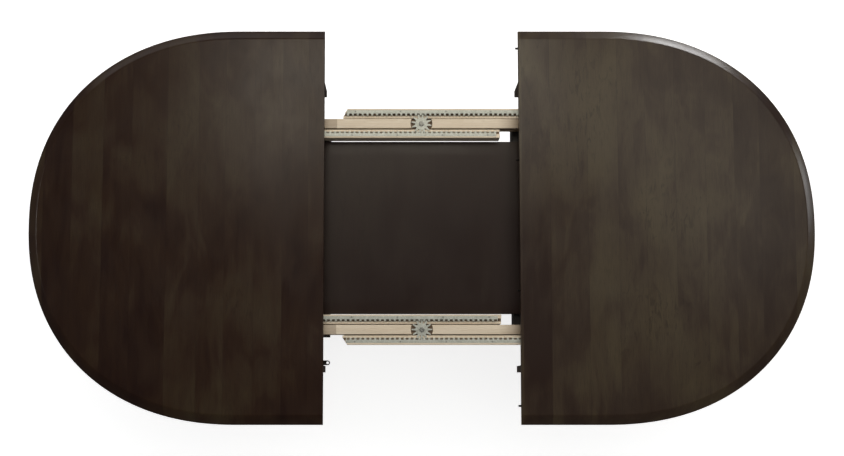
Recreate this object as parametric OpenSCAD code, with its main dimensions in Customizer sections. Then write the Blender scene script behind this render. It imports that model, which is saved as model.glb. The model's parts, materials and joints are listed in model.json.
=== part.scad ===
// Extendable dining table, drawn open with its leaf space empty.
// Millimetres, +Z up, floor at z = 0, table centre at x = y = 0.
// Two half tops slide apart along X on a back and a front slide set; the base stays still.

/* [Table] */
// Height of the table surface above the floor
table_h = 760; // [700:1:800]
// Depth of the table from front to back
table_d = 1219; // [1100:1:1300]
// Length of one half top, from its seam edge to its rounded end
half_l = 907; // [860:1:1000]
// Straight part of a half top's sides, next to the seam
straight_l = 259; // [100:1:350]
// Shape of the rounded end: 2 is an ellipse and more is squarer
end_power = 2.2; // [2:0.05:3]
// Width of the leaf space between the half tops
leaf_gap = 600; // [500:1:610]
// Gap left between the seam edges when the table is closed
seam_clear = 0.6; // [0.2:0.1:2]
// Straight pieces that the rounded end is drawn with
end_steps = 72; // [36:4:120]

/* [Half tops] */
// Thickness of a half top
top_t = 25; // [20:0.5:35]
// Width of the sloped edge, seen from above
bevel_w = 30; // [10:1:50]
// Height of the upright lip below the sloped edge
lip_h = 4; // [2:0.5:10]
// Radius of a seam pin
pin_r = 3.2; // [2.5:0.1:5]
// Length of a seam pin that stands out of the seam edge
pin_out = 9; // [5:0.5:14]
// Length of a seam pin inside the half top
pin_in = 22; // [15:1:40]
// Radius of the slimmer part of a seam pin inside the half top
pin_shank_r = 3; // [2:0.1:4.5]
// Radial clearance of a seam pin in its hole
pin_clear = 0.05; // [0.01:0.01:0.1]
// Length of a socket that takes the free end of a seam pin
socket_l = 12; // [10:0.5:20]
// Width and height of a socket
socket_w = 10; // [9:0.5:14]
// Distance of the outer seam pins from the centre line
outer_pin_y = 552; // [400:1:565]
// Distance of the inner seam pins from the centre line
inner_pin_y = 202; // [50:1:260]

/* [Aprons] */
// Height of an apron
apron_h = 110; // [70:1:120]
// Thickness of an apron
apron_t = 20; // [15:1:28]
// Distance from the edge of the top to the outer face of the apron
apron_inset = 160; // [120:1:165]
// Length of a glue block behind the apron
block_l = 50; // [30:1:80]
// Height of a glue block
block_h = 30; // [20:1:50]
// Width of a glue block
block_w = 22; // [15:1:30]
// Gap between a glue block and the apron
glue_gap = 0.2; // [0.1:0.1:1]

/* [Slides] */
// Distance of each slide set from the centre line
slide_y = 320; // [300:1:340]
// Length of a sliding rail
rail_l = 1040; // [900:1:1040]
// Length of a centre rail
centre_rail_l = 1085; // [1000:1:1090]
// Height of every rail
rail_h = 50; // [40:1:60]
// Distance that a sliding rail reaches past the table's centre when open
rail_reach = 243; // [200:1:260]
// Width of a sliding rail
side_rail_w = 28; // [26:1:34]
// Width of a centre rail
centre_rail_w = 29; // [24:1:30]
// Gap between neighbouring rails
rail_gap = 3; // [1:0.5:4]
// Thickness of the strips between the sliding rails and the half top
spacer_t = 3; // [1:0.5:6]
// Height of a sliding rail's underside above the centre rail's underside
rail_lift = 3; // [1:0.5:5]
// Length of the angled cut at the free end of an outer sliding rail
snipe_x = 14; // [5:1:20]
// Width of the angled cut at the free end of an outer sliding rail
snipe_y = 21; // [5:1:24]
// Radius of a stop peg
peg_r = 3; // [2:0.5:4]
// Extra opening travel before the stop pegs meet the ends of their grooves
over_travel = 20; // [5:1:40]

/* [Racks and pinions] */
// Number of teeth of a pinion
teeth = 12; // [10:1:16]
// Distance from one rack slot to the next
pitch = 15; // [12:0.5:18]
// Radius at the tips of the pinion's teeth
tip_r = 32; // [30:0.5:34]
// Radius at the roots of the pinion's teeth
root_r = 19; // [16:0.5:22]
// Thickness of a pinion
pinion_t = 3; // [2:0.5:4]
// Thickness of the rack's steel strip
rack_t = 1.5; // [1:0.1:2]
// Height of the rack's upright leg
rack_leg = 14; // [12:0.5:15]
// Width of a rack slot along the rail
slot_w = 8.5; // [8:0.1:10]
// Depth of a rack slot from the leg into the flange
slot_d = 6; // [4:0.5:7]
// Shift of the back racks from the pinion's centre, which turns the back pinion
back_phase = 5; // [0:0.5:7.5]
// Radius of the shoulder that a pinion turns on
shoulder_r = 5; // [4:0.5:6]
// Radial clearance of a pinion on its shoulder
shoulder_clear = 0.05; // [0.01:0.01:0.1]

/* [Deck and base] */
// Length of the fixed deck panel
deck_l = 1100; // [1000:1:1200]
// Width of the fixed deck panel
deck_w = 540; // [400:1:544]
// Thickness of the fixed deck panel
deck_t = 16; // [12:1:25]
// Distance from the table's centre to the inner face of an inner cross rail
cross_in_x = 286; // [270:1:310]
// Distance from the table's centre to the inner face of an outer cross rail
cross_out_x = 500; // [440:1:520]
// Width of a cross rail
cross_w = 45; // [35:1:60]
// Height of a cross rail
cross_h = 70; // [50:1:90]
// Length of a cross rail
cross_l = 678; // [660:1:720]
// Distance from the table's centre to the middle of a column
column_x = 415; // [400:1:430]
// Width of a column along the table
column_w = 90; // [70:1:110]
// Depth of a column across the table
column_d = 180; // [140:1:220]
// Corner radius of a column
column_round = 12; // [4:1:20]
// Thickness of a column head
head_t = 24; // [18:1:36]
// Length of a foot across the table
foot_l = 640; // [500:1:700]
// Width of a foot
foot_w = 80; // [60:1:100]
// Height of a foot at its middle
foot_h = 65; // [50:1:80]
// Height of a floor glide
glide_h = 8; // [4:1:15]
// Radius of a floor glide
glide_r = 15; // [10:1:20]
// Height of the stretcher
stretcher_h = 120; // [60:1:160]
// Thickness of the stretcher
stretcher_t = 30; // [20:1:50]

/* [Locks] */
// Distance of each lock from the centre line
lock_y = 421.5; // [400:0.5:422]
// Width of the keeper's tongue
tongue_w = 14.5; // [10:0.5:16]
// Length of the tongue that stands out past the seam
tongue_out = 20; // [12:1:25]
// Radius of the eye in the tongue
eye_r = 4; // [3:0.5:5]
// Thickness of the lock's steel plates
lock_t = 3; // [2:0.5:4]
// Distance from the seam to the lever's pivot
pivot_in = 42; // [38:1:50]
// Radius of the lever's pivot pin
pivot_r = 3; // [2:0.5:4]

/* [Hidden] */
top_z = table_h - top_t;
half_d = table_d / 2;
end_l = half_l - straight_l;
seam_x = leaf_gap / 2;
close_travel = seam_x - seam_clear / 2;
pin_z = top_z + top_t / 2;
pin_ys = [-outer_pin_y, -inner_pin_y, inner_pin_y, outer_pin_y];

side_in = centre_rail_w / 2 + rail_gap;
side_out = side_in + side_rail_w;
rail_top = top_z - spacer_t;
side_z = rail_top - rail_h;
centre_z = side_z - rail_lift;
rail_end = rail_l - rail_reach;

pitch_r = teeth * pitch / 360 * 180 / PI;
rack_in = 25;
rack_out = rack_in + 16;
rack_x0 = 11 - rail_reach;
rack_x1 = close_travel + 40;
step_y = rack_in + 8.5;
step_z = rail_top - rack_leg - 0.3;
step_x = rack_x1 + 5;
pocket_r = tip_r + 2;
pocket_z = rail_top - 15;
pinion_z = pocket_z + 6.5;
shelf_z = pinion_z - 1;

key_z = side_z + 22;
key_neck = 3.45;
key_head = 5.5;
peg_x = 250;
peg_z = side_z + 7;

screw_y = side_in + 18;
screw_xs = [380, 510, 640, 770];
rack_screw_y = rack_in + 12.25;
rack_screw_xs = [-205, -65, 75, 215, 325];

cross_z = centre_z - cross_h;
cross_xs = [cross_in_x + cross_w / 2, cross_out_x + cross_w / 2];
column_top = cross_z - head_t;
column_z = glide_h + foot_h;
rod_y = 50;
rod_r = 5;
stretcher_z = 200;
stretcher_l = 2 * column_x - column_w;
glide_y = foot_l / 2 - 30;

plate_z = top_z - lock_t;
tongue_z = plate_z - 7;
keeper_screws = [24, 42];
bracket_screws = [32, 57];
pivot_z = plate_z - 13;

block_angles = [-78, -36, -12, 12, 36, 78];

DARK_WOOD = [0.20, 0.16, 0.13];
PALE_WOOD = [0.83, 0.76, 0.66];
STEEL = [0.70, 0.70, 0.67];
BLACK = [0.07, 0.07, 0.07];

$fn = 48;
eps = 0.01;

// ---- Shared shapes ----

// A power curve that keeps its sign, for the rounded end
function curved(c) = sign(c) * pow(abs(c), 2 / end_power);

// Outline of a half top seen from above, moved in from the edge by an inset
function half_outline(inset) = concat(
  [[0, -(half_d - inset)]],
  [for (i = [0 : end_steps])
    let (t = -90 + 180 * i / end_steps)
    [straight_l + (end_l - inset) * curved(cos(t)), (half_d - inset) * curved(sin(t))]],
  [[0, half_d - inset]]
);

// A flat shape drawn in Y and Z, drawn out along X from x0 to x1
module along_x(x0, x1) {
  translate([x0, 0, 0])
    rotate([90, 0, 90])
      linear_extrude(x1 - x0)
        children();
}

// A box between two corners
module box(lo, hi) {
  translate(lo) cube(hi - lo);
}

// A round bar along Y, centred on x and z
module bar_y(x, z, y0, y1, r) {
  translate([x, y1, z])
    rotate([90, 0, 0])
      cylinder(h = y1 - y0, r = r);
}

// A round bar along X, centred on y and z
module bar_x(y, z, x0, x1, r) {
  translate([x0, y, z])
    rotate([0, 90, 0])
      cylinder(h = x1 - x0, r = r);
}

// The same parts in front, as the mirror image of those at the back
module back_and_front() {
  children();
  mirror([0, 1, 0]) children();
}

// The same parts on the left, turned half round from those on the right
module half_turn() {
  rotate([0, 0, 180]) children();
}

// The inner sliding rail of the left half is the outer one turned round the pinion
module round_pinion() {
  translate([0, slide_y, 0])
    rotate([0, 0, 180])
      translate([0, -slide_y, 0])
        children();
}

// A countersunk screw that points down from its head's face at z = 0
module screw(shank, head, length, grow = 0) {
  rotate_extrude()
    polygon([
      [0, grow], [head + grow, grow], [head + grow, -0.4], [shank + grow, -0.4 - (head - shank)],
      [shank + grow, 2 * shank - length], [0, -length - grow]
    ]);
}

// The same screw with a driver slot
module slotted_screw(shank, head, length) {
  difference() {
    screw(shank, head, length);
    translate([0, 0, 0])
      cube([2.4 * head, 0.35 * shank, 1], center = true);
  }
}

// ---- Half tops ----

// The board of a half top: rings of its outline, each with an inset and a height above
// the underside, that make a soft lower edge, an upright lip, a wide slope and a soft shoulder
module top_board() {
  rings = [[1, 0], [0, 1], [0, lip_h], [bevel_w - 4, top_t - 2.2], [bevel_w, top_t]];
  n = len(half_outline(0));
  last = (len(rings) - 1) * n;
  points = [
    for (ring = rings, p = half_outline(ring[0]))
      [seam_x + p[0], p[1], top_z + ring[1]]
  ];
  sides = [
    for (k = [0 : len(rings) - 2], i = [0 : n - 1], upper = [0, 1])
      let (a = k * n + i, b = k * n + (i + 1) % n)
      upper == 1 ? [a, a + n, b + n] : [a, b + n, b]
  ];
  bottom = [for (i = [0 : n - 1]) i];
  top = [for (i = [n - 1 : -1 : 0]) last + i];
  polyhedron(points, concat([bottom, top], sides));
}

// A half top without its screw holes and without its children, such as the holes of its pins
module half_top(rail_screw_y) {
  difference() {
    top_board();
    children();
    for (x = screw_xs, y = [-rail_screw_y, rail_screw_y])
      translate([x, y, top_z - 1]) cylinder(h = 17.1, r = 2.25);
  }
}

module left_top_panel() {
  color(DARK_WOOD)
    half_turn()
      half_top(slide_y - screw_y) {
        for (y = pin_ys) socket_block(y, 0.05);
        for (x = keeper_screws) translate([seam_x + x, lock_y, plate_z]) lock_screw(1.95);
      }
}

module right_top_panel() {
  color(DARK_WOOD)
    half_top(slide_y + screw_y) {
      for (y = pin_ys)
        bar_x(y, pin_z, seam_x - 1, seam_x + pin_in, pin_shank_r + pin_clear);
      for (x = bracket_screws) translate([seam_x + x, -lock_y, plate_z]) lock_screw(1.95);
    }
}

module seam_pins() {
  color(BLACK)
    for (y = pin_ys) {
      bar_x(y, pin_z, seam_x - pin_out, seam_x - 0.5, pin_r);
      bar_x(y, pin_z, seam_x - 1, seam_x + pin_in - 0.5, pin_shank_r);
    }
}

// The block of one socket, or with some growth the seat that it is pressed into
module socket_block(y, grow) {
  side = socket_w / 2 + grow;
  box([seam_x - grow, y - side, pin_z - side],
      [seam_x + socket_l + 2 * grow, y + side, pin_z + side]);
}

// Bored blocks let into the left seam edge, one for each pin
module pin_sockets() {
  color(BLACK)
    half_turn()
      for (y = pin_ys)
        difference() {
          socket_block(y, 0);
          bar_x(y, pin_z, seam_x - 1, seam_x + socket_l + 1, pin_r + pin_clear);
        }
}

// ---- Aprons ----

module half_apron() {
  translate([seam_x, 0, top_z - apron_h])
    linear_extrude(apron_h)
      difference() {
        polygon(half_outline(apron_inset));
        translate([-eps, 0])
          polygon(half_outline(apron_inset + apron_t));
      }
}

// Glue blocks on the straight sides and round the curved end, clear of the sliding rails
module half_blocks() {
  inset = apron_inset + apron_t + glue_gap;
  a = end_l - inset;
  b = half_d - inset;
  translate([seam_x, 0, top_z - block_h])
    linear_extrude(block_h)
      intersection() {
        polygon(half_outline(inset));
        union() {
          for (x = [130, 240], side = [-1, 1])
            translate([x, side * b])
              square([block_l, 2 * block_w], center = true);
          for (t = block_angles) {
            slope_x = pow(cos(t), 2 - 2 / end_power) / a;
            slope_y = sign(t) * pow(abs(sin(t)), 2 - 2 / end_power) / b;
            translate([straight_l + a * curved(cos(t)), b * curved(sin(t))])
              rotate(atan2(slope_y, slope_x))
                square([2 * block_w, block_l], center = true);
          }
        }
      }
}

module left_apron() {
  color(DARK_WOOD) half_turn() half_apron();
}

module right_apron() {
  color(DARK_WOOD) half_apron();
}

module left_apron_blocks() {
  color(PALE_WOOD) half_turn() half_blocks();
}

module right_apron_blocks() {
  color(PALE_WOOD) half_blocks();
}

// ---- Slides: drawn as the outer rail of the back set, on the right half ----

// Moves a shape drawn across one slide set to the back set
module at_back_set() {
  translate([0, slide_y, 0]) children();
}

module side_profile() {
  difference() {
    translate([side_in, side_z])
      square([side_rail_w, rail_h]);
    translate([side_in - 1, key_z - key_neck - 0.05])
      square([9.05, 2 * key_neck + 0.1]);
  }
}

module side_rail(sniped) {
  at_back_set()
    difference() {
      along_x(-rail_reach, rail_end) side_profile();
      box([-rail_reach - 1, side_in - 1, shelf_z], [step_x, step_y, rail_top + 1]);
      box([-rail_reach - 1, rack_in - 0.3, step_z], [step_x, step_y, rail_top + 1]);
      box([-rail_reach - 1, step_y - 1, rail_top - rack_t],
          [rack_x1 + 0.3, rack_out + 0.1, rail_top + 1]);
      if (sniped)
        translate([-rail_reach, side_out, side_z - 1])
          linear_extrude(rail_h + 2)
            polygon([[-1, 1], [snipe_x, 1], [snipe_x, 0], [0, -snipe_y], [-1, -snipe_y]]);
      for (x = screw_xs)
        translate([x, screw_y, 0]) {
          translate([0, 0, side_z - 1]) cylinder(h = rail_h - 24, r = 5);
          translate([0, 0, side_z]) cylinder(h = rail_h + 1, r = 2.25);
        }
      for (x = rack_screw_xs)
        translate([x, rack_screw_y, rail_top]) screw(1.3, 2.6, 12, 0.05);
      bar_y(peg_x, peg_z, side_in - 1, side_in + 12, peg_r + 0.05);
    }
}

module spacer_strip() {
  at_back_set()
    difference() {
      box([seam_x + 2, side_in, rail_top], [rail_end - 2, side_out, top_z]);
      for (x = screw_xs)
        translate([x, screw_y, rail_top - 1]) cylinder(h = spacer_t + 2, r = 2.25);
    }
}

module guide_key() {
  at_back_set()
    along_x(5 - rail_reach, rail_end - 5)
      translate([0, key_z])
        polygon([
          [side_in + 8, -key_neck], [side_in + 8, key_neck],
          [9.5, key_neck], [9.5, key_head], [5.6, key_head],
          [5.6, -key_head], [9.5, -key_head], [9.5, -key_neck]
        ]);
}

module rack(phase) {
  first = ceil((rack_x0 + 5 - phase) / pitch);
  last = floor((rack_x1 - 5 - phase) / pitch);
  at_back_set()
    difference() {
      along_x(rack_x0, rack_x1)
        polygon([
          [rack_in, rail_top], [rack_out, rail_top], [rack_out, rail_top - rack_t],
          [rack_in + rack_t, rail_top - rack_t], [rack_in + rack_t, rail_top - rack_leg],
          [rack_in, rail_top - rack_leg]
        ]);
      for (n = [first : last])
        translate([n * pitch + phase - slot_w / 2, rack_in - 1, rail_top - rack_leg + 1.5])
          cube([slot_w, slot_d + 1, rack_leg]);
      for (x = rack_screw_xs)
        translate([x, rack_screw_y, rail_top]) screw(1.3, 2.6, 12, 0.05);
    }
}

module rack_screws() {
  at_back_set()
    for (x = rack_screw_xs)
      translate([x, rack_screw_y, rail_top]) slotted_screw(1.3, 2.6, 12);
}

// Screws from inside the sliding rail up into the half top
module slide_screws() {
  at_back_set()
    for (x = screw_xs)
      translate([x, screw_y, rail_top - 25])
        rotate([180, 0, 0]) {
          translate([0, 0, 0.05]) cylinder(h = 2.5, r = 4.4);
          translate([0, 0, 1 - 43]) cylinder(h = 43, r = 2.2);
        }
}

module stop_peg() {
  at_back_set() bar_y(peg_x, peg_z, 8, side_in + 11.5, peg_r);
}

module centre_profile() {
  half_w = centre_rail_w / 2;
  slot = key_neck + 0.45;
  wide = key_head + 0.5;
  difference() {
    translate([-half_w, centre_z])
      square([centre_rail_w, rail_h]);
    for (side = [-1, 1])
      scale([side, 1])
        translate([0, key_z]) {
          translate([9, -slot]) square([half_w - 8, 2 * slot]);
          translate([5, -wide]) square([5, 2 * wide]);
        }
  }
}

module centre_rail() {
  groove_x = [peg_x - close_travel - peg_r - 1, peg_x + over_travel + peg_r + 0.5];
  groove_z = [peg_z - peg_r - 0.5, peg_z + peg_r + 0.5];
  at_back_set()
    difference() {
      along_x(-centre_rail_l / 2, centre_rail_l / 2) centre_profile();
      translate([0, 0, pocket_z]) cylinder(h = rail_h, r = pocket_r);
      translate([0, 0, pocket_z - 26]) cylinder(h = 30, r = 3.05);
      for (turn = [0, 180])
        rotate([0, 0, turn])
          box([groove_x[0], 7, groove_z[0]], [groove_x[1], centre_rail_w, groove_z[1]]);
      for (x = cross_xs, side = [-1, 1])
        translate([side * x, 0, centre_z - 1]) cylinder(h = 30, r = 2.3);
    }
}

module right_back_slide() {
  color(PALE_WOOD) side_rail(true);
}

module right_front_slide() {
  color(PALE_WOOD) mirror([0, 1, 0]) side_rail(true);
}

module left_back_slide() {
  color(PALE_WOOD) round_pinion() side_rail(false);
}

module left_front_slide() {
  color(PALE_WOOD) mirror([0, 1, 0]) round_pinion() side_rail(false);
}

module right_back_rack() {
  color(STEEL) rack(back_phase);
}

module right_front_rack() {
  color(STEEL) mirror([0, 1, 0]) rack(0);
}

module left_back_rack() {
  color(STEEL) round_pinion() rack(back_phase);
}

module left_front_rack() {
  color(STEEL) mirror([0, 1, 0]) round_pinion() rack(0);
}

module right_spacer_strips() {
  color(DARK_WOOD) back_and_front() spacer_strip();
}

module left_spacer_strips() {
  color(DARK_WOOD) back_and_front() round_pinion() spacer_strip();
}

module right_guide_keys() {
  color(PALE_WOOD) back_and_front() guide_key();
}

module left_guide_keys() {
  color(PALE_WOOD) back_and_front() round_pinion() guide_key();
}

module right_stop_pegs() {
  color(STEEL) back_and_front() stop_peg();
}

module left_stop_pegs() {
  color(STEEL) back_and_front() round_pinion() stop_peg();
}

module right_rack_screws() {
  color(STEEL) back_and_front() rack_screws();
}

module left_rack_screws() {
  color(STEEL) back_and_front() round_pinion() rack_screws();
}

module right_slide_screws() {
  color(STEEL) back_and_front() slide_screws();
}

module left_slide_screws() {
  color(STEEL) back_and_front() round_pinion() slide_screws();
}

module back_centre_rail() {
  color(PALE_WOOD) centre_rail();
}

module front_centre_rail() {
  color(PALE_WOOD) mirror([0, 1, 0]) centre_rail();
}

// ---- Pinions ----

// One tooth that points along +Y, with a rounded tip
module tooth() {
  polygon([
    [-3.6, root_r - 2], [-2.7, pitch_r - 3.5], [-2.2, tip_r - 2.5], [-1.3, tip_r - 0.6],
    [0, tip_r], [1.3, tip_r - 0.6], [2.2, tip_r - 2.5], [2.7, pitch_r - 3.5], [3.6, root_r - 2]
  ]);
}

module pinion(turn) {
  difference() {
    union() {
      translate([0, 0, pinion_z])
        rotate(turn)
          linear_extrude(pinion_t)
            for (i = [0 : teeth - 1])
              rotate(360 * i / teeth) tooth();
      translate([0, 0, pinion_z])
        cylinder(h = pinion_t, r = root_r);
    }
    translate([0, 0, pinion_z - 1])
      cylinder(h = pinion_t + 2, r = shoulder_r + shoulder_clear);
  }
}

module shoulder_screw(turn) {
  head_z = pinion_z + pinion_t + 0.3;
  difference() {
    union() {
      translate([0, 0, pocket_z - 25]) cylinder(h = 30, r = 3);
      translate([0, 0, pocket_z]) cylinder(h = head_z + 1 - pocket_z, r = shoulder_r);
      translate([0, 0, head_z]) cylinder(h = 3, r = 7.5);
      translate([0, 0, head_z + 3]) cylinder(h = 1.2, r1 = 7.5, r2 = 5.8);
    }
    translate([0, 0, head_z + 4])
      rotate(turn)
        cube([1.8, 20, 3], center = true);
  }
}

module washer() {
  difference() {
    translate([0, 0, pocket_z]) cylinder(h = pinion_z - pocket_z - 0.3, r = 9);
    translate([0, 0, pocket_z - 1]) cylinder(h = 10, r = shoulder_r + shoulder_clear);
  }
}

module back_pinion() {
  color(STEEL) translate([0, slide_y, 0]) pinion(-back_phase / pitch_r * 180 / PI);
}

module front_pinion() {
  color(STEEL) translate([0, -slide_y, 0]) pinion(0);
}

module pinion_screws() {
  color(STEEL) {
    translate([0, slide_y, 0]) shoulder_screw(0);
    translate([0, -slide_y, 0]) shoulder_screw(55);
  }
}

module pinion_washers() {
  color(STEEL)
    for (y = [-slide_y, slide_y])
      translate([0, y, 0]) washer();
}

// ---- Deck and cross rails ----

module deck_screw_places() {
  for (side = [-1, 1], x = cross_xs, y = [-220, 220])
    translate([side * x, y, centre_z + deck_t]) children();
}

module deck_panel() {
  color(DARK_WOOD)
    difference() {
      box([-deck_l / 2, -deck_w / 2, centre_z], [deck_l / 2, deck_w / 2, centre_z + deck_t]);
      deck_screw_places() screw(2.2, 4.4, 45, 0.05);
    }
}

module deck_screws() {
  color(STEEL) deck_screw_places() slotted_screw(2.2, 4.4, 45);
}

module cross_rail(x) {
  difference() {
    box([x - cross_w / 2, -cross_l / 2, cross_z], [x + cross_w / 2, cross_l / 2, centre_z]);
    for (y = [-220, 220])
      translate([x, y, centre_z + deck_t]) screw(2.2, 4.4, 45, 0.05);
    for (y = [-slide_y, slide_y])
      translate([x, y, 0]) {
        translate([0, 0, cross_z - 1]) cylinder(h = 41, r = 6);
        translate([0, 0, cross_z]) cylinder(h = cross_h + 1, r = 2.3);
      }
    for (y = [-80, 80])
      translate([x, y, cross_z - 1]) cylinder(h = 31, r = 2.3);
  }
}

module left_outer_cross_rail() {
  color(BLACK) cross_rail(-cross_xs[1]);
}

module left_inner_cross_rail() {
  color(BLACK) cross_rail(-cross_xs[0]);
}

module right_inner_cross_rail() {
  color(BLACK) cross_rail(cross_xs[0]);
}

module right_outer_cross_rail() {
  color(BLACK) cross_rail(cross_xs[1]);
}

// A screw that points up, with its flat head below z = 0
module up_screw(length) {
  translate([0, 0, -3]) cylinder(h = 3, r = 5);
  translate([0, 0, -1]) cylinder(h = length + 1, r = 2.25);
}

module centre_rail_screws() {
  color(STEEL)
    for (side = [-1, 1], x = cross_xs, y = [-slide_y, slide_y])
      translate([side * x, y, cross_z + 40]) up_screw(55);
}

module head_screws() {
  color(STEEL)
    for (side = [-1, 1], x = cross_xs, y = [-80, 80])
      translate([side * x, y, column_top]) up_screw(head_t + 28);
}

// ---- Pedestals ----

module column_head() {
  x0 = cross_in_x;
  x1 = cross_out_x + cross_w;
  difference() {
    box([x0, -100, column_top], [x1, 100, cross_z]);
    for (y = [-rod_y, rod_y])
      translate([column_x, y, 0]) {
        translate([0, 0, column_top - 1]) cylinder(h = head_t + 2, r = rod_r + 0.5);
        translate([0, 0, cross_z - 11]) cylinder(h = 12, r = 12);
      }
    for (x = cross_xs, y = [-80, 80])
      translate([x, y, column_top - 1]) cylinder(h = head_t + 2, r = 2.3);
  }
}

module rounded_post(w, d, r, z0, z1) {
  box([-w / 2 + r, -d / 2, z0], [w / 2 - r, d / 2, z1]);
  box([-w / 2, -d / 2 + r, z0], [w / 2, d / 2 - r, z1]);
  for (x = [r - w / 2, w / 2 - r], y = [r - d / 2, d / 2 - r])
    translate([x, y, z0]) cylinder(h = z1 - z0, r = r);
}

module column() {
  difference() {
    translate([column_x, 0, 0])
      rounded_post(column_w, column_d, column_round, column_z, column_top);
    for (y = [-rod_y, rod_y])
      translate([column_x, y, column_z - 1])
        cylinder(h = column_top - column_z + 2, r = rod_r + 0.5);
    for (z = [30, stretcher_h - 30])
      bar_x(0, stretcher_z + z, column_x - column_w, column_x + column_w, 4.5);
  }
}

module foot() {
  rise = 14;
  slope = 200;
  tip_h = 30;
  difference() {
    along_x(column_x - foot_w / 2, column_x + foot_w / 2)
      translate([0, glide_h])
        polygon([
          [-foot_l / 2, 0], [-foot_l / 2 + 70, 0], [-foot_l / 2 + 110, rise],
          [foot_l / 2 - 110, rise], [foot_l / 2 - 70, 0], [foot_l / 2, 0],
          [foot_l / 2, tip_h], [foot_l / 2 - slope, foot_h],
          [slope - foot_l / 2, foot_h], [-foot_l / 2, tip_h]
        ]);
    for (y = [-rod_y, rod_y])
      translate([column_x, y, 0]) {
        cylinder(h = column_z + 1, r = rod_r + 0.5);
        cylinder(h = glide_h + rise + 12, r = 12);
      }
    for (y = [-glide_y, glide_y])
      translate([column_x, y, 0]) cylinder(h = glide_h + 22, r = 4.05);
  }
}

// A threaded rod with a hexagonal nut at each end, pulling head, column and foot together
module tie_rod() {
  low = glide_h + 26;
  high = cross_z - 11;
  translate([0, 0, low - 11]) cylinder(h = high - low + 21, r = rod_r);
  translate([0, 0, low - 8.5]) cylinder(h = 8.5, r = 9.8, $fn = 6);
  translate([0, 0, high]) cylinder(h = 8.5, r = 9.8, $fn = 6);
}

module glide() {
  cylinder(h = glide_h - 2, r = glide_r);
  translate([0, 0, glide_h - 2]) cylinder(h = 2, r1 = glide_r, r2 = glide_r - 3);
  translate([0, 0, glide_h - 1]) cylinder(h = 22, r = 4);
}

module right_column_head() {
  color(BLACK) column_head();
}

module left_column_head() {
  color(BLACK) half_turn() column_head();
}

module right_column() {
  color(DARK_WOOD) column();
}

module left_column() {
  color(DARK_WOOD) half_turn() column();
}

module right_foot() {
  color(DARK_WOOD) foot();
}

module left_foot() {
  color(DARK_WOOD) half_turn() foot();
}

module tie_rods() {
  color(STEEL)
    for (x = [-column_x, column_x], y = [-rod_y, rod_y])
      translate([x, y, 0]) tie_rod();
}

module floor_glides() {
  color(BLACK)
    for (x = [-column_x, column_x], y = [-glide_y, glide_y])
      translate([x, y, 0]) glide();
}

module stretcher() {
  color(DARK_WOOD)
    difference() {
      box([-stretcher_l / 2, -stretcher_t / 2, stretcher_z],
          [stretcher_l / 2, stretcher_t / 2, stretcher_z + stretcher_h]);
      for (side = [-1, 1], z = [30, stretcher_h - 30])
        bar_x(0, stretcher_z + z, side * stretcher_l / 2 - 60,
              side * stretcher_l / 2 + 60, 4.2);
    }
}

module stretcher_bolts() {
  color(STEEL)
    for (turn = [0, 180], z = [30, stretcher_h - 30])
      rotate([0, 0, turn]) {
        bar_x(0, stretcher_z + z, stretcher_l / 2 - 50, column_x + column_w / 2 + 2, 4);
        bar_x(0, stretcher_z + z, column_x + column_w / 2 + 0.5,
              column_x + column_w / 2 + 6, 9);
      }
}

// ---- Lock at the front of the seam ----

module lock_keeper() {
  tip = tongue_out - seam_x;
  color(BLACK) difference() {
    union() {
      box([-seam_x - 52, -lock_y - tongue_w / 2, plate_z],
          [-seam_x - 14, -lock_y + tongue_w / 2, top_z]);
      box([-seam_x - 17, -lock_y - tongue_w / 2, tongue_z],
          [-seam_x - 14, -lock_y + tongue_w / 2, top_z]);
      box([-seam_x - 17, -lock_y - tongue_w / 2, tongue_z],
          [tip - tongue_w / 2, -lock_y + tongue_w / 2, tongue_z + lock_t]);
      translate([tip - tongue_w / 2, -lock_y, tongue_z])
        cylinder(h = lock_t, r = tongue_w / 2);
    }
    translate([tip - tongue_w / 2, -lock_y, tongue_z - 1])
      cylinder(h = lock_t + 2, r = eye_r);
    for (x = keeper_screws)
      translate([-seam_x - x, -lock_y, plate_z - 1]) cylinder(h = lock_t + 2, r = 2);
  }
}

module lock_bracket() {
  x = seam_x + pivot_in;
  color(BLACK) difference() {
    union() {
      box([seam_x + 27, -lock_y - 8, plate_z], [seam_x + 62, -lock_y + 12.5, top_z]);
      box([x - 8, -lock_y + 9.5, pivot_z], [x + 8, -lock_y + 12.5, top_z]);
      bar_y(x, pivot_z, -lock_y + 9.5, -lock_y + 12.5, 8);
    }
    bar_y(x, pivot_z, -lock_y + 8, -lock_y + 14, pivot_r + 0.05);
    for (u = bracket_screws)
      translate([seam_x + u, -lock_y, plate_z - 1]) cylinder(h = lock_t + 2, r = 2);
  }
}

// The lever hangs down unlocked; turned a quarter its finger stands up through the eye
module lock_lever() {
  x = seam_x + pivot_in;
  color(BLACK) difference() {
    union() {
      translate([x, -lock_y + 2.5, pivot_z])
        rotate([90, 0, 0])
          linear_extrude(5)
            polygon([
              [-4, 0], [-4, -27.6], [-12.3, -28.2], [-13, -29.5], [-12.3, -31.4],
              [-4, -33], [5, -31], [5, -3], [16, -3], [16, 2], [4, 4]
            ]);
      bar_y(x, pivot_z, -lock_y - 5.2, -lock_y + 9, 7);
    }
    bar_y(x, pivot_z, -lock_y - 8, -lock_y + 12, pivot_r + 0.05);
  }
}

module lock_pin() {
  x = seam_x + pivot_in;
  color(BLACK) {
    bar_y(x, pivot_z, -lock_y - 6, -lock_y + 13.5, pivot_r);
    bar_y(x, pivot_z, -lock_y - 7.6, -lock_y - 5.6, 5);
    bar_y(x, pivot_z, -lock_y + 12.6, -lock_y + 14.5, 5);
  }
}

// A lock screw below the top, and the hole that it sits in
module lock_screw(r) {
  cylinder(h = 16, r = r);
}

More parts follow.
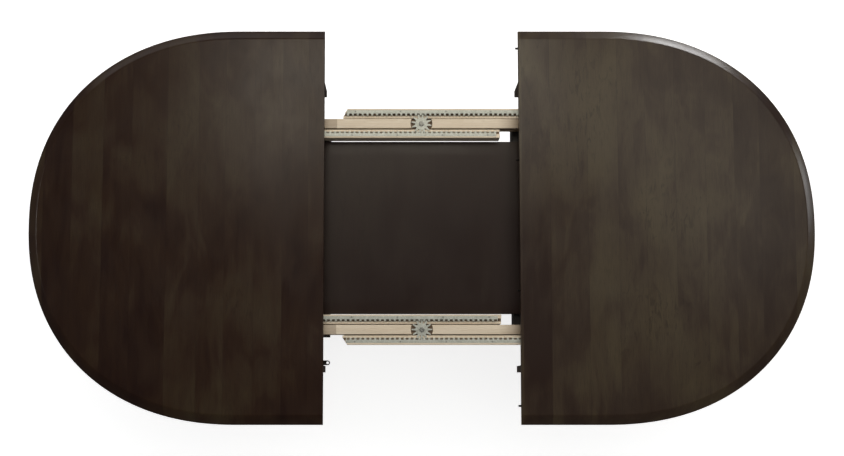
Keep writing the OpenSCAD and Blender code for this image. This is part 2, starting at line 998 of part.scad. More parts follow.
module lock_screws(xs, side) {
  color(STEEL)
    for (x = xs)
      translate([side * (seam_x + x), -lock_y, plate_z]) {
        translate([0, 0, -1.5]) cylinder(h = 1.5, r = 3.5);
        translate([0, 0, -1]) lock_screw(1.9);
      }
}

module right_lock_screws() {
  lock_screws(bracket_screws, 1);
}

module left_lock_screws() {
  lock_screws(keeper_screws, -1);
}

left_top_panel();
right_top_panel();
seam_pins();
pin_sockets();
left_apron();
right_apron();
left_apron_blocks();
right_apron_blocks();
left_spacer_strips();
right_spacer_strips();
back_centre_rail();
front_centre_rail();
left_back_slide();
left_front_slide();
right_back_slide();
right_front_slide();
left_back_rack();
left_front_rack();
right_back_rack();
right_front_rack();
left_guide_keys();
right_guide_keys();
left_stop_pegs();
right_stop_pegs();
left_rack_screws();
right_rack_screws();
left_slide_screws();
right_slide_screws();
back_pinion();
front_pinion();
pinion_screws();
pinion_washers();
deck_panel();
deck_screws();
left_outer_cross_rail();
left_inner_cross_rail();
right_inner_cross_rail();
right_outer_cross_rail();
centre_rail_screws();
head_screws();
left_column_head();
right_column_head();
left_column();
right_column();
left_foot();
right_foot();
tie_rods();
stretcher();
stretcher_bolts();
floor_glides();
lock_keeper();
lock_bracket();
lock_lever();
lock_pin();
left_lock_screws();
right_lock_screws();
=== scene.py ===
import json
import math

import bmesh
import bpy
from mathutils import Matrix, Vector

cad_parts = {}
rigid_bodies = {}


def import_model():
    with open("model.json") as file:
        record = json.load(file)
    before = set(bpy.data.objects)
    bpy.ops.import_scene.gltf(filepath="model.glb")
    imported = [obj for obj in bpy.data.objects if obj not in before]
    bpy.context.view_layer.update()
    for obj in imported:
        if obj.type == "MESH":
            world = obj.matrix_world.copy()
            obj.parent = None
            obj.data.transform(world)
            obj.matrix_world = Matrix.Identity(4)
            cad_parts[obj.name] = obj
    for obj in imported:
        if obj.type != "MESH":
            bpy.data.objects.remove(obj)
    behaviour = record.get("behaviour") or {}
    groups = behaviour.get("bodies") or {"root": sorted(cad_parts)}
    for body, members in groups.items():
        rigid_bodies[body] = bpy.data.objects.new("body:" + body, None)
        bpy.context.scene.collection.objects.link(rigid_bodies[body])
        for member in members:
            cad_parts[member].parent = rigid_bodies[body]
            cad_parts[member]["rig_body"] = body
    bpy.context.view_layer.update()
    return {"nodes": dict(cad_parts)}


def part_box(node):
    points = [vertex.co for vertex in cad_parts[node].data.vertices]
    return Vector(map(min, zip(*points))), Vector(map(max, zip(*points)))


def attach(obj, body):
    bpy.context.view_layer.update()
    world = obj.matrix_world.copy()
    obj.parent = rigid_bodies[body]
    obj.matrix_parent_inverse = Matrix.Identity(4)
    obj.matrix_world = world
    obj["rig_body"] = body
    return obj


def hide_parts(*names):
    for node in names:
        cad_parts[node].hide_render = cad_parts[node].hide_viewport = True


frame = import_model()
nodes = frame["nodes"]

X, Y, Z = 0, 1, 2

# ---- Sizes of the table, in metres, read from the frame ----

TOP_LOW, TOP_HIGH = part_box("right_top_panel")
SEAM_X = TOP_LOW.x
TOP_Z = TOP_LOW.z
TOP_T = TOP_HIGH.z - TOP_LOW.z
HALF_L = TOP_HIGH.x - SEAM_X
HALF_D = TOP_HIGH.y
APRON_LOW, APRON_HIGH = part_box("right_apron")
APRON_INSET = HALF_D - APRON_HIGH.y
RAIL_LOW, RAIL_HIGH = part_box("back_centre_rail")
SLIDE_Y = (RAIL_LOW.y + RAIL_HIGH.y) / 2
CENTRE_HALF_W = (RAIL_HIGH.y - RAIL_LOW.y) / 2
RAIL_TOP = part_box("right_back_slide")[1].z

# Shape of the rounded end, as the CAD model has it
STRAIGHT_L = 0.259
END_POWER = 2.2
END_STEPS = 200
APRON_T = 0.020

# Seam pins, the holes that they sit in, and the square seats of their sockets
PIN_R = 0.0032
INNER_PIN_Y = 0.202
PIN_HOLE_R, PIN_HOLE_DEPTH = 0.00305, 0.022
SEAT_HALF_W, SEAT_DEPTH = 0.00505, 0.0121
# How far a hole's cutter stands out of the seam edge
CUTTER_START = 0.005

# Where the rails get painted shade: in grooves this far below their tops and this far from
# the middle of a slide set, and a painted shadow of the half tops near the ends of the centre
# rails
GROOVE_SHALLOW, GROOVE_DEEP = 0.0110, 0.0125
GROOVE_REACH = 0.0340
SEAM_SHADE_LEFT = (-0.2625, -0.2610)
SEAM_SHADE_RIGHT = (0.235, 0.300)

# Half the side of the floor, which reaches far past every view of the table
FLOOR_HALF_L = 250.0

# Slope of a half top's edge: how far in from the edge, and how far above the underside
EDGE_PROFILE = [
    (0.0016, 0.0), (0.0008, 0.0001), (0.0002, 0.0006), (0.0, 0.0014), (0.0, 0.0032),
    (0.0002, 0.0039), (0.0008, 0.0046), (0.0252, 0.0219), (0.0262, 0.0225),
    (0.0275, 0.0233), (0.0290, 0.0241), (0.0306, 0.0247), (0.0325, 0.0250),
]


# ---- Materials ----

class Paint:
    """One procedural material and short calls for the nodes that it is made of."""

    def __init__(self, name):
        self.material = bpy.data.materials.new(name)
        self.material.use_nodes = True
        self.tree = self.material.node_tree
        self.shader = self.tree.nodes["Principled BSDF"]
        self.place = self.node("TexCoord").outputs["Object"]

    def node(self, kind, inputs=None, **settings):
        """A node of this kind, with its settings made and its inputs joined or filled."""
        made = self.tree.nodes.new("ShaderNode" + kind)
        for key, value in settings.items():
            setattr(made, key, value)
        for key, value in (inputs or {}).items():
            self.join(value, made.inputs[key])
        return made

    def join(self, value, socket):
        """Joins another node's output to a socket, or fills the socket with a plain value."""
        if isinstance(value, bpy.types.NodeSocket):
            self.tree.links.new(value, socket)
        else:
            socket.default_value = value

    def set(self, **inputs):
        """Fills the shader's own sockets. An underscore in a name stands for a space."""
        for key, value in inputs.items():
            self.join(value, self.shader.inputs[key.replace("_", " ")])

    def math(self, operation, a, b=0.0, c=0.0):
        made = self.node("Math", {0: a, 1: b, 2: c}, operation=operation)
        return made.outputs[0]

    def part(self, axis):
        """One coordinate of the place on the object."""
        return self.node("SeparateXYZ", {0: self.place}).outputs[axis]

    def stretched(self, scale, shift=(0.0, 0.0, 0.0), place=None):
        """The place on the object with each axis scaled, then shifted."""
        made = self.node("VectorMath", {0: place or self.place, 1: scale},
                         operation="MULTIPLY")
        return self.node("VectorMath", {0: made.outputs[0], 1: shift},
                         operation="ADD").outputs[0]

    def noise(self, place, detail=3.0, rough=0.55, bend=0.0):
        made = self.node("TexNoise", {
            "Vector": place, "Scale": 1.0, "Detail": detail,
            "Roughness": rough, "Distortion": bend,
        })
        return made.outputs["Factor"] if "Factor" in made.outputs else made.outputs["Fac"]

    def span(self, value, low, high, to_low=0.0, to_high=1.0):
        """A value taken from one span of numbers to another, held within it."""
        return self.node("MapRange", {
            "Value": value, "From Min": low, "From Max": high,
            "To Min": to_low, "To Max": to_high,
        }).outputs["Result"]

    def mix(self, factor, a, b):
        made = self.node("Mix", data_type="RGBA")
        for socket, value in zip((made.inputs[0], made.inputs[6], made.inputs[7]),
                                 (factor, a, b)):
            self.join(value, socket)
        return made.outputs[2]

    def bump(self, height, depth, strength=1.0):
        made = self.node("Bump", {"Height": height, "Strength": strength,
                                  "Distance": depth})
        return made.outputs["Normal"]


def rgb(red, green, blue):
    """A linear colour from the usual 0 to 255 screen values."""
    def linear(value):
        value /= 255
        return value / 12.92 if value <= 0.04045 else ((value + 0.055) / 1.055) ** 2.4
    return (linear(red), linear(green), linear(blue), 1.0)


def dimmed(colour, factor):
    """A linear colour made darker by a factor."""
    return tuple(factor * part for part in colour[:3]) + (1.0,)


def stained_planks(name, across, plank, colours, sheen, contrast=1.0):
    """Dark stained boards glued side by side. across is the axis that the boards lie next to
    each other on, and the grain runs along the other one. contrast is how far the boards
    differ from each other."""
    dark, mid, light = colours
    paint = Paint(name)
    along = 1 - across
    row = paint.math("MULTIPLY_ADD", paint.part(across), 1 / plank, 0.37)
    board = paint.node("TexVoronoi", {
        "W": row, "Scale": 1.0, "Randomness": 0.55,
    }, voronoi_dimensions="1D", feature="F1")
    luck = paint.node("SeparateColor", {0: board.outputs["Color"]})
    joint = paint.node("TexVoronoi", {
        "W": row, "Scale": 1.0, "Randomness": 0.55,
    }, voronoi_dimensions="1D", feature="DISTANCE_TO_EDGE").outputs["Distance"]

    # Each board takes its grain from another place in the same pattern
    jump = paint.node("CombineXYZ", {
        0: paint.math("MULTIPLY", luck.outputs[1], 3.0),
        1: paint.math("MULTIPLY", luck.outputs[0], 9.0), 2: 0.0,
    }).outputs[0]
    board_place = paint.node("VectorMath", {0: paint.place, 1: jump},
                             operation="ADD").outputs[0]

    def scales(side, length):
        return tuple(length if axis == along else side for axis in range(3))

    figure = paint.noise(paint.stretched(scales(11, 4.2), place=board_place),
                         detail=3.0, rough=0.55, bend=0.9)
    stain = paint.noise(paint.stretched(scales(3.4, 2.4), (4.1, 1.7, 0.0)),
                        detail=2.5, rough=0.55, bend=0.5)
    grain = paint.noise(paint.stretched(scales(70, 3.2), place=board_place),
                        detail=5.0, rough=0.65)
    pores = paint.noise(paint.stretched(scales(620, 26), place=board_place),
                        detail=2.0, rough=0.6)
    ripple = paint.noise(paint.stretched(scales(60, 17), place=board_place),
                         detail=2.0, rough=0.6, bend=1.4)
    flame = paint.math("MULTIPLY", paint.span(ripple, 0.54, 0.68),
                       paint.span(stain, 0.53, 0.66))

    tone = paint.math("MULTIPLY_ADD", luck.outputs[0], 0.24 * contrast,
                      paint.math("MULTIPLY", figure, 0.70))
    tone = paint.math("ADD", tone, paint.math("MULTIPLY", stain, 0.75))
    tone = paint.math("ADD", tone, paint.math("MULTIPLY_ADD", grain, 0.26, -0.13))
    middle = 0.725 + 0.12 * contrast
    tone = paint.span(tone, middle - 0.23, middle + 0.23)
    colour = paint.mix(paint.span(tone, 0.0, 0.55), dark, mid)
    colour = paint.mix(paint.span(tone, 0.45, 1.0), colour, light)
    streak = paint.span(pores, 0.50, 0.72, 0.0, 0.35)
    colour = paint.mix(streak, colour, dimmed(dark, 0.45))
    colour = paint.mix(paint.math("MULTIPLY", flame, 0.42), colour,
                       dimmed(dark, 0.50))
    seam = paint.span(joint, 0.0, 0.012, 0.30 * contrast, 0.0)
    colour = paint.mix(seam, colour, dimmed(dark, 0.4))

    smudge = paint.noise(paint.stretched((9.0, 7.0, 9.0), (2.0, 5.0, 0.0)), detail=3.0)
    rough = paint.span(smudge, 0.35, 0.65, sheen - 0.035, sheen + 0.045)
    rough = paint.math("ADD", rough, paint.math("MULTIPLY", streak, 0.22))
    relief = paint.math("ADD", paint.math("MULTIPLY", grain, 0.55),
                        paint.math("MULTIPLY", pores, 0.45))
    paint.set(Base_Color=colour, Roughness=rough,
              Normal=paint.bump(relief, 0.00018, 0.35))
    paint.set(IOR=1.48, Coat_Weight=0.12, Coat_Roughness=0.22)
    return paint.material


def clear_wood(name, along, light, dark, shade_mask=None):
    """Planed pale wood without stain, its grain along the given axis. The last argument, if
    given, makes the places that get painted shade, as a value from 0 to 1 made by the paint."""
    paint = Paint(name)

    def scales(side, length):
        return tuple(length if axis == along else side for axis in range(3))

    years = paint.noise(paint.stretched(scales(38, 1.3)), detail=3.0, rough=0.6, bend=0.6)
    rings = paint.math("FRACT", paint.math("MULTIPLY", years, 9.0))
    grain = paint.noise(paint.stretched(scales(260, 7.0)), detail=4.0, rough=0.65)
    fleck = paint.noise(paint.stretched(scales(900, 60)), detail=1.5)
    patch = paint.noise(paint.stretched(scales(6, 4)), detail=2.0)
    tone = paint.math("MULTIPLY_ADD", rings, 0.22, paint.math("MULTIPLY", grain, 0.55))
    tone = paint.math("ADD", tone, paint.math("MULTIPLY_ADD", patch, 0.5, -0.16))
    colour = paint.mix(paint.span(tone, 0.2, 0.85), light, dark)
    colour = paint.mix(paint.span(fleck, 0.60, 0.74, 0.0, 0.35), colour,
                       dimmed(dark, 0.55))
    if shade_mask:
        # Painted shade: the masked places are darkened to this brown
        colour = paint.mix(shade_mask(paint), colour, rgb(104, 76, 46))
    relief = paint.math("ADD", grain, paint.math("MULTIPLY", fleck, 0.5))
    paint.set(Base_Color=colour, Roughness=paint.span(grain, 0.3, 0.7, 0.46, 0.62),
              Normal=paint.bump(relief, 0.00015, 0.4))
    paint.set(IOR=1.45)
    return paint.material


def painted_rail_shade(paint):
    """Painted shade on the rails: dark in the deep grooves below the racks' slots, and a
    painted shadow of the half tops on the ends of the centre rails, near the seams.
    """
    x, y, z = (paint.part(axis) for axis in (X, Y, Z))
    off = paint.math("ABSOLUTE", paint.math("SUBTRACT", paint.math("ABSOLUTE", y), SLIDE_Y))
    # Painted shade, deep in the grooves below the racks' slots
    low = paint.span(z, RAIL_TOP - GROOVE_DEEP, RAIL_TOP - GROOVE_SHALLOW, 1.0, 0.0)
    inside = paint.span(off, GROOVE_REACH, GROOVE_REACH + 0.0010, 1.0, 0.0)
    groove_shade = paint.math("MULTIPLY", paint.math("MULTIPLY", low, inside), 0.85)
    # Painted shadow of the half tops on the centre rails' ends near the seams
    left = paint.span(x, *SEAM_SHADE_LEFT, 0.40, 0.0)
    right = paint.span(x, *SEAM_SHADE_RIGHT, 0.0, 0.65)
    centre = paint.span(off, CENTRE_HALF_W, CENTRE_HALF_W + 0.0008, 1.0, 0.0)
    seam_shade = paint.math("MULTIPLY", paint.math("ADD", left, right), centre)
    return paint.math("MAXIMUM", groove_shade, seam_shade)


def painted_wood(name, along):
    """Nearly black paint on wood, with the grain just showing through it."""
    paint = Paint(name)
    scale = tuple(5.0 if axis == along else 120.0 for axis in range(3))
    grain = paint.noise(paint.stretched(scale), detail=4.0, rough=0.6)
    drift = paint.noise(paint.stretched((14.0, 14.0, 14.0)), detail=3.0)
    wear = paint.math("MULTIPLY", paint.span(grain, 0.55, 0.75), paint.span(drift, 0.4, 0.7))
    colour = paint.mix(paint.span(drift, 0.3, 0.7), rgb(22, 19, 18), rgb(36, 31, 28))
    colour = paint.mix(paint.math("MULTIPLY", wear, 0.5), colour, rgb(52, 42, 34))
    paint.set(Base_Color=colour, Roughness=paint.span(grain, 0.3, 0.7, 0.42, 0.60),
              Normal=paint.bump(grain, 0.0002, 0.4))
    return paint.material


def zinc(name, light, dark, metal):
    """Dull zinc plating: fine crystals, a little grey bloom and fine scratches."""
    paint = Paint(name)
    crystal = paint.node("TexVoronoi", {"Vector": paint.place, "Scale": 420.0},
                         feature="F1")
    luck = paint.node("SeparateColor", {0: crystal.outputs["Color"]}).outputs[0]
    bloom = paint.noise(paint.stretched((45.0, 45.0, 45.0)), detail=4.0, rough=0.65)
    scratch = paint.noise(paint.stretched((60.0, 1500.0, 1500.0)), detail=2.0)
    tone = paint.math("MULTIPLY_ADD", luck, 0.35, paint.math("MULTIPLY", bloom, 0.9))
    colour = paint.mix(paint.span(tone, 0.25, 1.0), dark, light)
    rough = paint.math("MULTIPLY_ADD", luck, 0.12, 0.36)
    rough = paint.math("ADD", rough, paint.math("MULTIPLY", bloom, 0.14))
    relief = paint.math("ADD", paint.math("MULTIPLY", scratch, 0.6), luck)
    paint.set(Base_Color=colour, Roughness=rough,
              Normal=paint.bump(relief, 0.00004, 0.35))
    paint.set(Metallic=metal)
    return paint.material


def black_steel(name):
    """Blackened steel with a slight brown bloom and worn patches."""
    paint = Paint(name)
    bloom = paint.noise(paint.stretched((90.0, 90.0, 90.0)), detail=4.0)
    fine = paint.noise(paint.stretched((700.0, 700.0, 700.0)), detail=2.0)
    colour = paint.mix(paint.span(bloom, 0.35, 0.7), rgb(24, 23, 23), rgb(52, 48, 44))
    paint.set(Base_Color=colour, Roughness=paint.span(bloom, 0.3, 0.7, 0.34, 0.55),
              Normal=paint.bump(fine, 0.00005, 0.4))
    paint.set(Metallic=0.7)
    return paint.material


def moulded_plastic(name):
    """Black moulded plastic with a fine matt texture and dusty wear."""
    paint = Paint(name)
    stipple = paint.noise(paint.stretched((1400.0, 1400.0, 1400.0)), detail=1.0)
    dust = paint.noise(paint.stretched((60.0, 60.0, 60.0)), detail=3.0)
    colour = paint.mix(paint.span(dust, 0.4, 0.7), rgb(26, 26, 27), rgb(44, 43, 42))
    paint.set(Base_Color=colour, Roughness=paint.span(stipple, 0.3, 0.7, 0.5, 0.66),
              Normal=paint.bump(stipple, 0.0001, 0.5))
    return paint.material


# The right half top is coloured lighter and greener than the left one
TOP_STAIN = {
    "left": ((0.0170, 0.0058, 0.0030, 1.0), (0.0300, 0.0132, 0.0058, 1.0),
             (0.0455, 0.0280, 0.0125, 1.0)),
    "right": ((0.0260, 0.0130, 0.0085, 1.0), (0.0460, 0.0280, 0.0160, 1.0),
              (0.0680, 0.0480, 0.0240, 1.0)),
}
DECK_STAIN = ((0.0170, 0.0078, 0.0058, 1.0), (0.0205, 0.0105, 0.0075, 1.0),
              (0.0250, 0.0150, 0.0095, 1.0))
APRON_STAIN = ((0.0180, 0.0080, 0.0050, 1.0), (0.0230, 0.0120, 0.0070, 1.0),
               (0.0330, 0.0190, 0.0100, 1.0))
top_wood = {
    half: stained_planks(f"stained_{half}_top_wood", X, 0.092, TOP_STAIN[half], 0.33)
    for half in ("left", "right")
}
deck_wood = stained_planks("stained_deck_wood", X, 0.130, DECK_STAIN, 0.36, contrast=0.25)
apron_wood = stained_planks("stained_apron_wood", Y, 0.300, APRON_STAIN, 0.40, contrast=0.5)
# The rails' wood carries painted shade in its grooves and a painted shadow near the seams
rail_wood = clear_wood("pale_rail_wood", X, rgb(240, 226, 204), rgb(219, 198, 168), painted_rail_shade)
block_wood = clear_wood("pale_block_wood", Z, rgb(216, 196, 164), rgb(186, 156, 118))
black_wood = painted_wood("black_painted_wood", Y)
strip_steel = zinc("zinc_strip", rgb(230, 231, 220), rgb(186, 188, 176), 0.45)
screw_steel = zinc("zinc_screw", rgb(205, 205, 198), rgb(150, 150, 144), 0.75)
dark_steel = black_steel("blackened_steel")
black_plastic = moulded_plastic("moulded_black_plastic")


# ---- Shapes ----

def curved(value):
    """A power curve that keeps its sign, for the rounded end."""
    return math.copysign(abs(value) ** (2 / END_POWER), value)


def half_outline(inset, steps=END_STEPS):
    """Outline of a half top seen from above, from its front seam corner to its back one."""
    end_l, half_d = HALF_L - STRAIGHT_L - inset, HALF_D - inset
    points = [(0.0, -half_d)]
    for i in range(steps + 1):
        turn = math.radians(-90 + 180 * i / steps)
        points.append((STRAIGHT_L + end_l * curved(math.cos(turn)),
                       half_d * curved(math.sin(turn))))
    points.append((0.0, half_d))
    return points


def loft(name, rings):
    """A mesh through rings of the same number of points, capped at both ends."""
    mesh = bpy.data.meshes.new(name)
    bm = bmesh.new()
    made = [[bm.verts.new(p) for p in ring] for ring in rings]
    count = len(rings[0])
    for low, high in zip(made, made[1:]):
        for i in range(count):
            j = (i + 1) % count
            bm.faces.new((low[i], low[j], high[j], high[i]))
    bm.faces.new(list(reversed(made[0])))
    bm.faces.new(made[-1])
    bmesh.ops.remove_doubles(bm, verts=bm.verts, dist=1e-6)
    bmesh.ops.recalc_face_normals(bm, faces=bm.faces)
    bm.to_mesh(mesh)
    bm.free()
    piece = bpy.data.objects.new(name, mesh)
    bpy.context.scene.collection.objects.link(piece)
    return piece


def shade(piece, angle=35):
    """Smooth shading that stays sharp at edges over this angle, in degrees."""
    mesh = piece.data
    mesh.shade_smooth()
    bm = bmesh.new()
    bm.from_mesh(mesh)
    for edge in bm.edges:
        sharp = not edge.is_manifold or edge.calc_face_angle(0) > math.radians(angle)
        edge.smooth = not sharp
    bm.to_mesh(mesh)
    bm.free()


def bake(piece):
    """Applies a piece's modifiers to its own mesh."""
    found = piece.evaluated_get(bpy.context.evaluated_depsgraph_get())
    mesh = bpy.data.meshes.new_from_object(found)
    piece.modifiers.clear()
    piece.data = mesh
    piece.data.name = piece.name


def soften(bm, width, shortest, segments=2, angle=30, choose=None):
    """Rounds the sharp edges of a mesh that are longer than the shortest given."""
    edges = [
        edge for edge in bm.edges
        if edge.is_manifold and edge.calc_face_angle(0) > math.radians(angle)
        and edge.calc_length() > shortest and (choose is None or choose(edge))
    ]
    bmesh.ops.bevel(bm, geom=edges, offset=width, offset_type="OFFSET", segments=segments,
                    profile=0.5, affect="EDGES", clamp_overlap=True, loop_slide=True)


def dress(piece, body, material, slot, *replaced):
    """Puts a finished piece in the scene: its body and its material, and hides the CAD parts
    that it replaces.
    """
    piece.data.materials.clear()
    piece.data.materials.append(material)
    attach(piece, body)
    if replaced:
        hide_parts(*replaced)
    return piece


def refined(node, material, slot, width=0.0006, shortest=0.004, segments=2):
    """A copy of a CAD node with its flat faces joined up and its longer edges rounded."""
    source = nodes[node]
    mesh = source.data.copy()
    mesh.name = node + "_fine"
    bm = bmesh.new()
    bm.from_mesh(mesh)
    bmesh.ops.remove_doubles(bm, verts=bm.verts, dist=2e-6)
    bmesh.ops.dissolve_limit(bm, angle_limit=math.radians(0.6), verts=bm.verts,
                             edges=bm.edges)
    soften(bm, width, shortest, segments)
    bmesh.ops.triangulate(bm, faces=[f for f in bm.faces if len(f.verts) > 4])
    bm.to_mesh(mesh)
    bm.free()
    piece = bpy.data.objects.new(node + "_fine", mesh)
    bpy.context.scene.collection.objects.link(piece)
    shade(piece, 38)
    return dress(piece, source["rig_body"], material, slot, node)


def turned(points, half):
    """Points of the right half, turned half round for the left half."""
    sign = -1 if half == "left" else 1
    return [(sign * x, sign * y, z) for x, y, z in points]


def cutter(name, place, radius, direction, length, sides=32):
    """A round or square bar that a boolean cuts a hole with."""
    bar = bpy.data.meshes.new(name)
    bm = bmesh.new()
    if sides == 4:
        radius *= math.sqrt(2)
    bmesh.ops.create_cone(bm, cap_ends=True, segments=sides, radius1=radius, radius2=radius,
                          depth=length, matrix=Matrix.Rotation(math.pi / sides, 4, "Z"))
    bm.to_mesh(bar)
    bm.free()
    piece = bpy.data.objects.new(name, bar)
    piece.rotation_mode = "QUATERNION"
    piece.rotation_quaternion = Vector(direction).to_track_quat("Z", "Y")
    piece.location = place
    bpy.context.scene.collection.objects.link(piece)
    return piece


def cut(piece, cutters):
    """Cuts a hole in a piece with each cutter in turn, and removes the cutters."""
    for i, bar in enumerate(cutters):
        modifier = piece.modifiers.new(f"cut_{i}", "BOOLEAN")
        modifier.operation = "DIFFERENCE"
        modifier.solver = "EXACT"
        modifier.object = bar
    bpy.context.view_layer.update()
    bake(piece)
    for bar in cutters:
        bpy.data.objects.remove(bar)


def pin_places():
    """Where the four seam pins lie across the table."""
    low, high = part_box("seam_pins")
    middle = (low.z + high.z) / 2
    outer = (high.y - low.y) / 2 - PIN_R
    return [(y, middle) for y in (-outer, -INNER_PIN_Y, INNER_PIN_Y, outer)]


def make_half_top(half):
    """One half top, with a softened seam edge and the holes of its pins."""
    rings = []
    for inset, height in EDGE_PROFILE:
        ring = [(SEAM_X + x, y, TOP_Z + height) for x, y in half_outline(inset)]
        rings.append(turned(ring, half))
    piece = loft(f"{half}_half_top", rings)
    sign = -1 if half == "left" else 1
    # The left half has square seats for the pin sockets, and the right half holds the pins
    if half == "left":
        radius, depth, sides = SEAT_HALF_W, SEAT_DEPTH, 4
    else:
        radius, depth, sides = PIN_HOLE_R, PIN_HOLE_DEPTH, 32
    middle_x = sign * (SEAM_X + depth / 2 - CUTTER_START)
    bars = [
        cutter(f"pin_hole_{i}", (middle_x, sign * y, z), radius, (1, 0, 0),
               depth + 2 * CUTTER_START, sides)
        for i, (y, z) in enumerate(pin_places())
    ]
    bm = bmesh.new()
    bm.from_mesh(piece.data)

    def at_top_seam(edge):
        at_seam = all(abs(abs(v.co.x) - SEAM_X) < 1e-5 for v in edge.verts)
        return at_seam and all(v.co.z > TOP_Z + 0.006 for v in edge.verts)

    soften(bm, 0.0008, 0.002, segments=3, angle=40, choose=at_top_seam)
    bm.to_mesh(piece.data)
    bm.free()
    cut(piece, bars)
    shade(piece, 28)
    return dress(piece, f"{half}_top", top_wood[half], "dark_wood", f"{half}_top_panel")


def make_apron(half):
    """One bent apron, with softened lower edges."""
    low, high = APRON_LOW.z, APRON_HIGH.z
    edge = 0.0015
    outer, inner = APRON_INSET, APRON_INSET + APRON_T
    section = [
        (outer, high), (outer, low + edge), (outer + edge * 0.3, low + edge * 0.3),
        (outer + edge, low), (inner - edge, low), (inner - edge * 0.3, low + edge * 0.3),
        (inner, low + edge), (inner, high),
    ]
    outlines = [half_outline(inset, 120) for inset, _ in section]
    rings = []
    for i in range(len(outlines[0])):
        ring = [
            (SEAM_X + outline[i][0], outline[i][1], z)
            for outline, (_, z) in zip(outlines, section)
        ]
        rings.append(turned(ring, half))
    piece = loft(f"{half}_bent_apron", rings)
    shade(piece, 30)
    return dress(piece, f"{half}_top", apron_wood, "dark_wood", f"{half}_apron")


for half in ("left", "right"):
    make_half_top(half)
    make_apron(half)

# Rails, racks and the base keep their CAD shape with rounded edges
RAILS = [
    "back_centre_rail", "front_centre_rail", "left_back_slide", "left_front_slide",
    "right_back_slide", "right_front_slide", "left_guide_keys", "right_guide_keys",
]
RACKS = ["left_back_rack", "left_front_rack", "right_back_rack", "right_front_rack"]
GEARS = ["back_pinion", "front_pinion"]
CROSS_RAILS = [
    "left_outer_cross_rail", "left_inner_cross_rail",
    "right_inner_cross_rail", "right_outer_cross_rail",
]
HEADS = ["left_column_head", "right_column_head"]
BASE = ["left_column", "right_column", "left_foot", "right_foot"]
SCREWS = [
    "left_rack_screws", "right_rack_screws", "left_slide_screws", "right_slide_screws",
    "pinion_screws", "pinion_washers", "deck_screws", "centre_rail_screws", "head_screws",
    "tie_rods", "stretcher_bolts", "left_lock_screws", "right_lock_screws",
    "left_stop_pegs", "right_stop_pegs",
]
BLACKENED = ["lock_keeper", "lock_bracket", "lock_lever", "lock_pin", "seam_pins"]

for node in RAILS:
    refined(node, rail_wood, "pale_wood", width=0.0008, shortest=0.006)
for node in RACKS:
    refined(node, strip_steel, "zinc_steel", width=0.00025, shortest=0.0012)
for node in GEARS:
    refined(node, strip_steel, "zinc_steel", width=0.0004, shortest=0.0010, segments=3)
for node in CROSS_RAILS + HEADS:
    refined(node, black_wood, "black_wood", width=0.0020, shortest=0.010, segments=3)
for node in BASE:
    refined(node, apron_wood, "dark_wood", width=0.0025, shortest=0.020, segments=3)
refined("stretcher", apron_wood, "dark_wood", width=0.0025, shortest=0.020, segments=3)
refined("deck_panel", deck_wood, "dark_wood", width=0.0010, shortest=0.020, segments=3)
for half in ("left", "right"):
    refined(f"{half}_apron_blocks", block_wood, "pale_wood", width=0.0010, shortest=0.006)
    refined(f"{half}_spacer_strips", apron_wood, "dark_wood", width=0.0004, shortest=0.006)
for node in SCREWS:
    refined(node, screw_steel, "zinc_steel", width=0.0002, shortest=0.0008)
for node in BLACKENED:
    refined(node, dark_steel, "black_steel", width=0.0004, shortest=0.0012)
for node in ["floor_glides", "pin_sockets"]:
    refined(node, black_plastic, "black_plastic", width=0.0004, shortest=0.0012)


# ---- Floor, lights and camera ----

def make_floor():
    """A plain pale floor with a little light of its own, so that it stays white."""
    mesh = bpy.data.meshes.new("floor")
    bm = bmesh.new()
    bmesh.ops.create_grid(bm, x_segments=1, y_segments=1, size=FLOOR_HALF_L)
    bm.to_mesh(mesh)
    bm.free()
    floor = bpy.data.objects.new("floor", mesh)
    bpy.context.scene.collection.objects.link(floor)
    paint = Paint("floor")
    paint.set(Base_Color=(0.86, 0.86, 0.86, 1.0), Roughness=0.9,
              Emission_Color=(1.0, 1.0, 1.0, 1.0), Emission_Strength=0.80)
    paint.shader.inputs["Specular IOR Level"].default_value = 0.0
    mesh.materials.append(paint.material)
    # The sheen of the dark tops comes from the lamps alone
    floor.visible_glossy = False


def softbox(name, place, aim, size, radiance, glossy=True, diffuse=True, colour=(1, 1, 1)):
    """A rectangular lamp, with its brightness given as the radiance of its face."""
    light = bpy.data.lights.new(name, "AREA")
    light.shape = "RECTANGLE"
    light.size, light.size_y = size
    light.energy = radiance * math.pi * size[0] * size[1]
    light.color = colour
    lamp = bpy.data.objects.new(name, light)
    lamp.location = place
    lamp.rotation_mode = "QUATERNION"
    lamp.rotation_quaternion = (Vector(aim) - Vector(place)).to_track_quat("-Z", "Y")
    lamp.visible_camera = False
    lamp.visible_glossy = glossy
    lamp.visible_diffuse = diffuse
    bpy.context.scene.collection.objects.link(lamp)


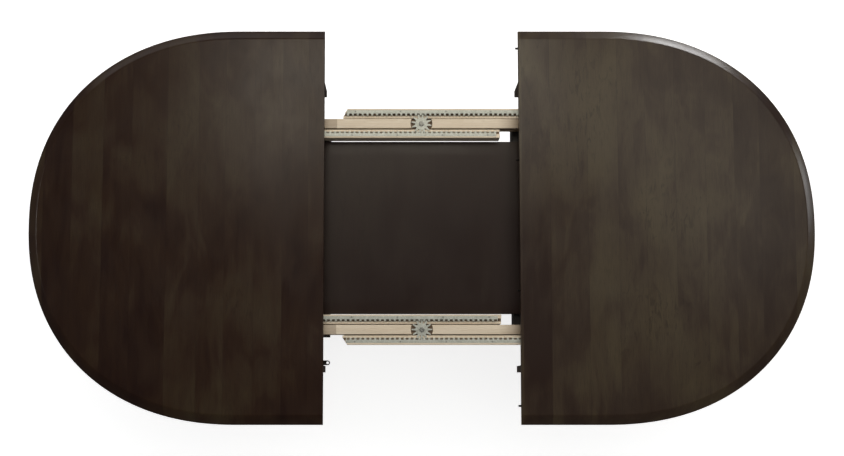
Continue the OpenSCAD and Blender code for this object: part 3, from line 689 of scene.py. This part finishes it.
def make_lights():
    table = (0.0, 0.0, TOP_HIGH.z)
    warm = (1.0, 0.93, 0.78)
    softbox("overhead_fill", (0.3, 1.3, 4.4), table, size=(7.0, 5.0), radiance=1.25,
            glossy=False)
    softbox("back_sheen", (-0.25, 1.42, 3.2), (-0.1, 0.3, 0.76), size=(1.6, 1.2),
            radiance=1.8, colour=warm)
    softbox("right_sheen", (1.75, 0.95, 3.2), (0.9, 0.3, 0.76), size=(2.2, 1.3),
            radiance=0.90, colour=warm)
    # Low lamps that only the edges' slopes and the metal parts mirror
    softbox("right_back_strip", (1.90, 2.80, 0.95), (0.8, 0.58, 0.76), size=(1.1, 0.9),
            radiance=12.0, diffuse=False)
    softbox("right_strip", (3.60, 0.80, 0.95), (1.2, 0.15, 0.76), size=(0.8, 0.9),
            radiance=3.5, diffuse=False)
    softbox("left_back_strip", (-1.60, 3.00, 0.95), (-0.7, 0.58, 0.76), size=(2.8, 0.9),
            radiance=0.6, diffuse=False)
    softbox("left_glint", (-3.30, 0.35, 2.07), (-1.18, 0.03, 0.76), size=(0.5, 0.3),
            radiance=7.0, diffuse=False)
    softbox("front_fill", (0.0, -6.0, 1.6), (0.0, 0.0, 0.5), size=(5.0, 2.0), radiance=0.25,
            glossy=False)
    softbox("side_fill", (-6.0, 1.0, 1.6), (0.0, 0.0, 0.5), size=(4.0, 2.0), radiance=0.7,
            glossy=False)
    world = bpy.data.worlds.new("studio")
    world.use_nodes = True
    world.node_tree.nodes["Background"].inputs["Color"].default_value = (1, 1, 1, 1)
    world.node_tree.nodes["Background"].inputs["Strength"].default_value = 0.05
    bpy.context.scene.world = world


def make_camera():
    """A camera above the front of the table, nearly straight down, with a small shift that
    keeps the seams upright in the picture."""
    distance = 3.4
    lean = math.radians(5.0)
    frame_w = 2.562
    shift_x, shift_y = 0.030, 0.075
    aim_forward = 0.0135
    aim = Vector((-shift_x * frame_w, -shift_y * frame_w - aim_forward, TOP_HIGH.z))
    camera = bpy.data.cameras.new("camera")
    camera.sensor_width = 36.0
    camera.lens = camera.sensor_width * distance / frame_w
    camera.shift_x, camera.shift_y = shift_x, shift_y
    camera.clip_end = 800.0
    body = bpy.data.objects.new("camera", camera)
    body.location = aim + distance * Vector((0.0, -math.sin(lean), math.cos(lean)))
    body.rotation_mode = "QUATERNION"
    body.rotation_quaternion = (aim - body.location).to_track_quat("-Z", "Y")
    bpy.context.scene.collection.objects.link(body)
    bpy.context.scene.camera = body


make_floor()
make_lights()
make_camera()
bpy.context.scene.view_settings.view_transform = "Standard"
bpy.context.scene.view_settings.look = "None"
